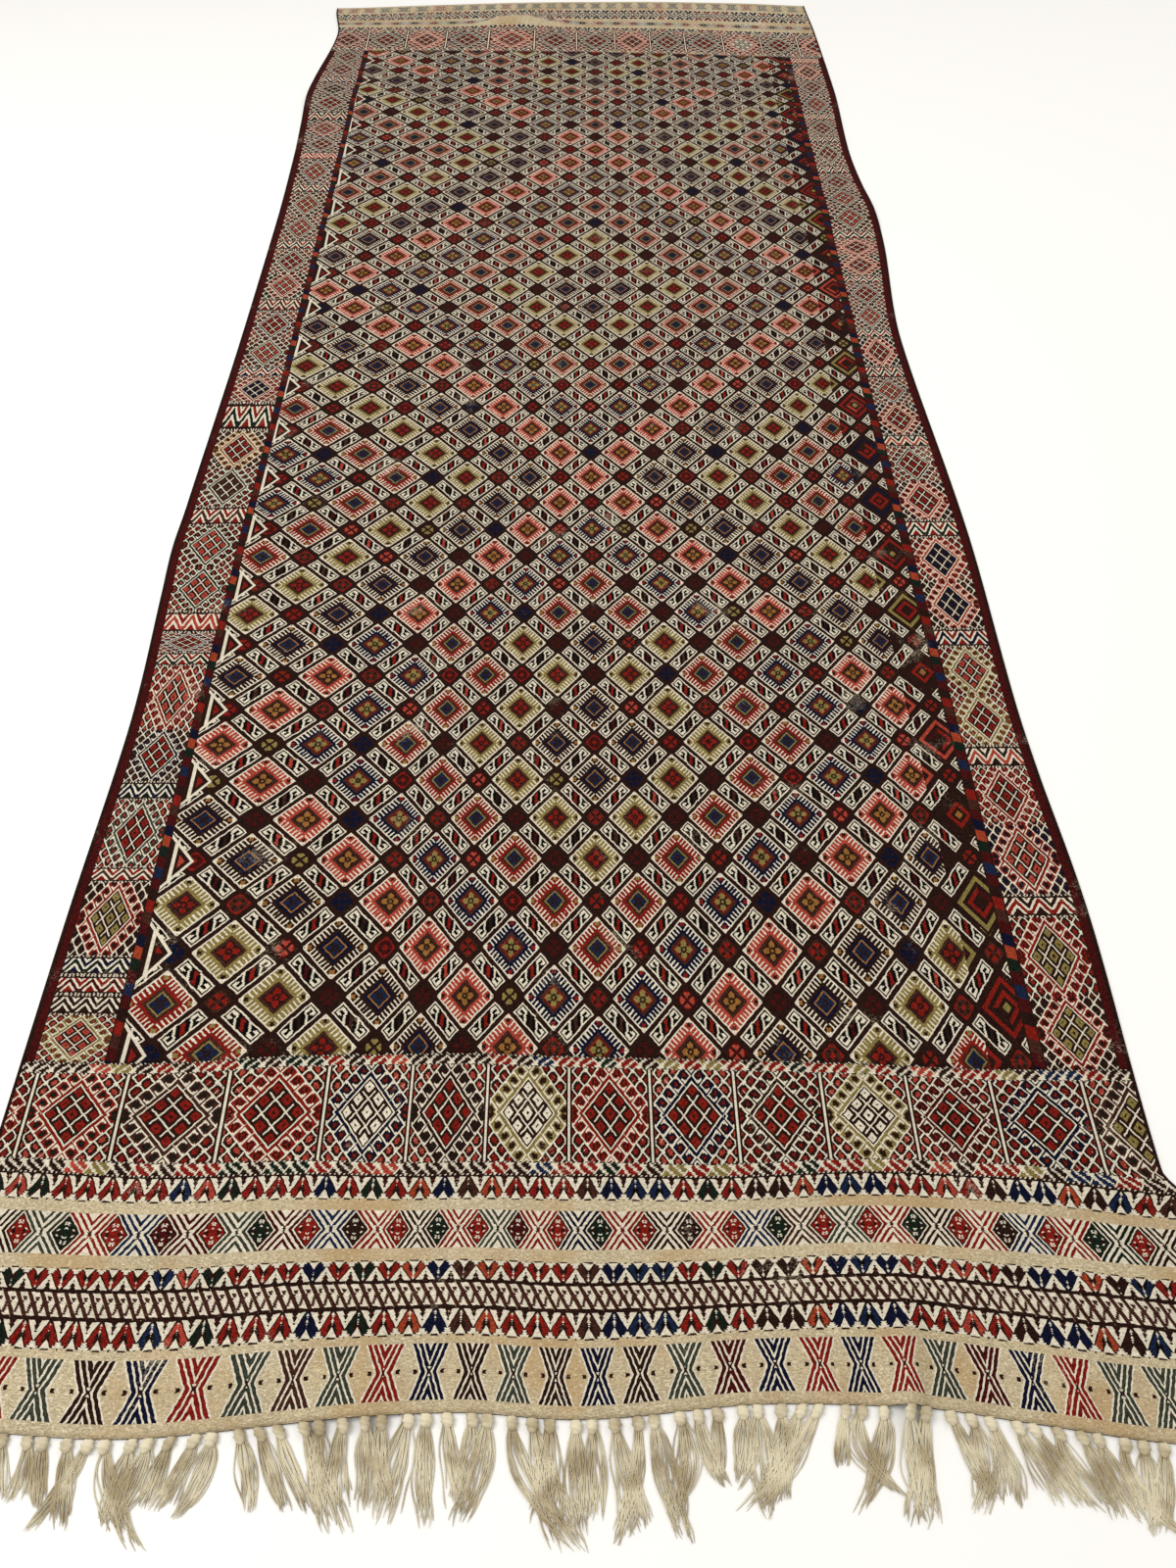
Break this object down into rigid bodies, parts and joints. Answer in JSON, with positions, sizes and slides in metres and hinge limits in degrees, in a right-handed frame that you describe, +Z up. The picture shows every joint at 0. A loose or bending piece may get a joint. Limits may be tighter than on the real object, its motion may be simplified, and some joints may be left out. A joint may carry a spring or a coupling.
{
  "type": "kilim rug",
  "caption": "Long flat-woven wool kilim with a diamond lattice field, patterned borders and striped skirts, lying flat, with a knotted fringe at one end.",
  "frame": {"origin": "middle of the rug's bounding box in plan, at the level of the surface it lies on", "axes": "+Y along the rug's length, from the fringed near end to the plain far end; +X across it; +Z up"},
  "size_m": [1.6662, 4.6064, 0.0272],
  "materials": {
    "brocaded_wool": "matt hand-spun wool, flat-woven and brocaded",
    "undyed_wool": "matt undyed wool yarn, knotted"
  },
  "bodies": {
    "root": {"cloth": "brocaded_wool", "fringe": "undyed_wool"}
  },
  "joints": []
}
